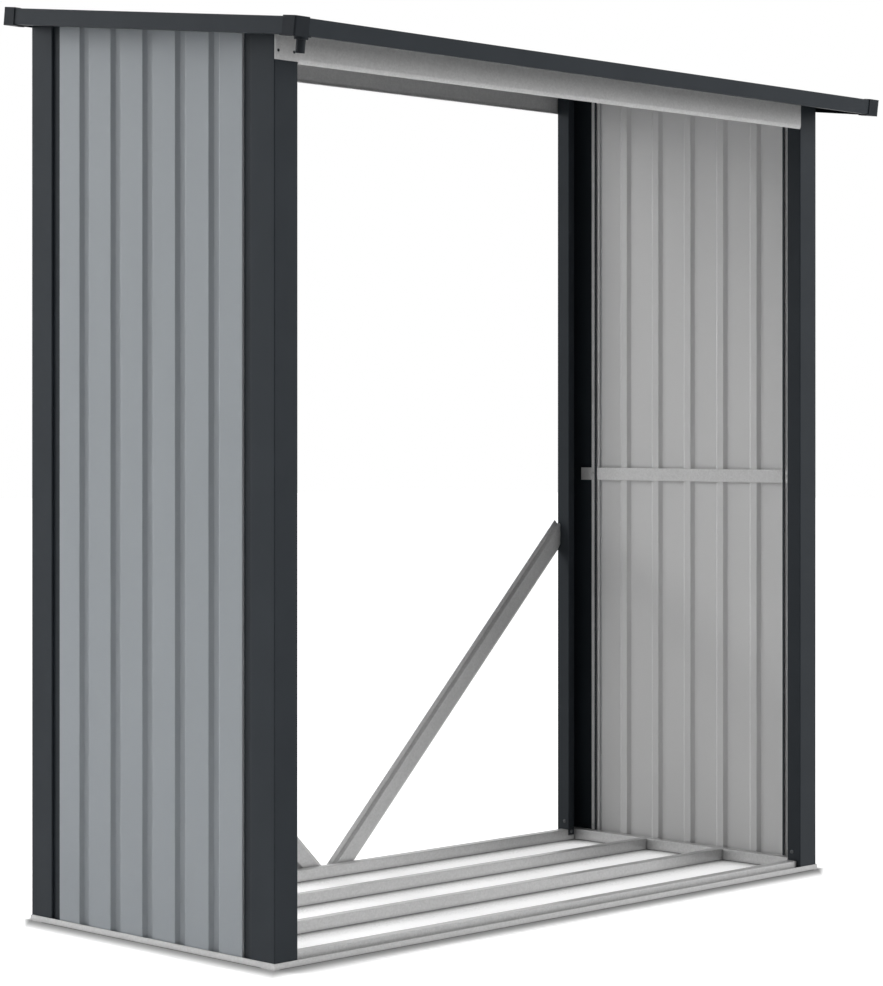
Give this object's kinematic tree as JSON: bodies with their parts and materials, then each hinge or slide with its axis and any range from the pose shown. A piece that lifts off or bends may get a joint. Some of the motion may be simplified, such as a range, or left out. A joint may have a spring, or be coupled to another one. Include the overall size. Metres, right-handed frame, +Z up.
{
  "type": "log store",
  "caption": "Open-fronted steel log store with ribbed side walls, folded corner posts, a lean-to roof with fascia, a rail floor and a V brace across the open back.",
  "frame": {"origin": "on the ground, below the middle of the whole box, roof overhang included", "axes": "+Z up, open front towards -Y, +X to the right when looking in at the front"},
  "size_m": [1.8256, 0.9052, 1.9053],
  "materials": {
    "anthracite_steel": "satin anthracite coat",
    "galvanised_steel": "galvanised",
    "wall_sheet": "satin blue-grey coat outside, light grey back coat inside",
    "black_plastic": "fine matte"
  },
  "bodies": {
    "root": {"front_base_rail": "galvanised_steel", "back_base_rail": "galvanised_steel", "left_base_rail": "galvanised_steel", "right_base_rail": "galvanised_steel", "front_floor_rail": "galvanised_steel", "back_floor_rail": "galvanised_steel", "front_left_post": "anthracite_steel", "front_right_post": "anthracite_steel", "back_left_post": "anthracite_steel", "back_right_post": "anthracite_steel", "left_wall_panel": "wall_sheet", "right_wall_panel": "wall_sheet", "left_wall_front_strip": "anthracite_steel", "left_wall_back_strip": "anthracite_steel", "right_wall_front_strip": "anthracite_steel", "right_wall_back_strip": "anthracite_steel", "left_wall_rail": "galvanised_steel", "right_wall_rail": "galvanised_steel", "front_top_beam": "galvanised_steel", "back_top_beam": "galvanised_steel", "left_top_rail": "galvanised_steel", "right_top_rail": "galvanised_steel", "left_brace": "galvanised_steel", "right_brace": "galvanised_steel", "roof_sheet": "anthracite_steel", "front_fascia": "anthracite_steel", "back_fascia": "anthracite_steel", "left_fascia": "anthracite_steel", "right_fascia": "anthracite_steel", "front_left_cap": "black_plastic", "front_right_cap": "black_plastic", "back_left_cap": "black_plastic", "back_right_cap": "black_plastic", "rain_spout": "black_plastic"}
  },
  "joints": []
}
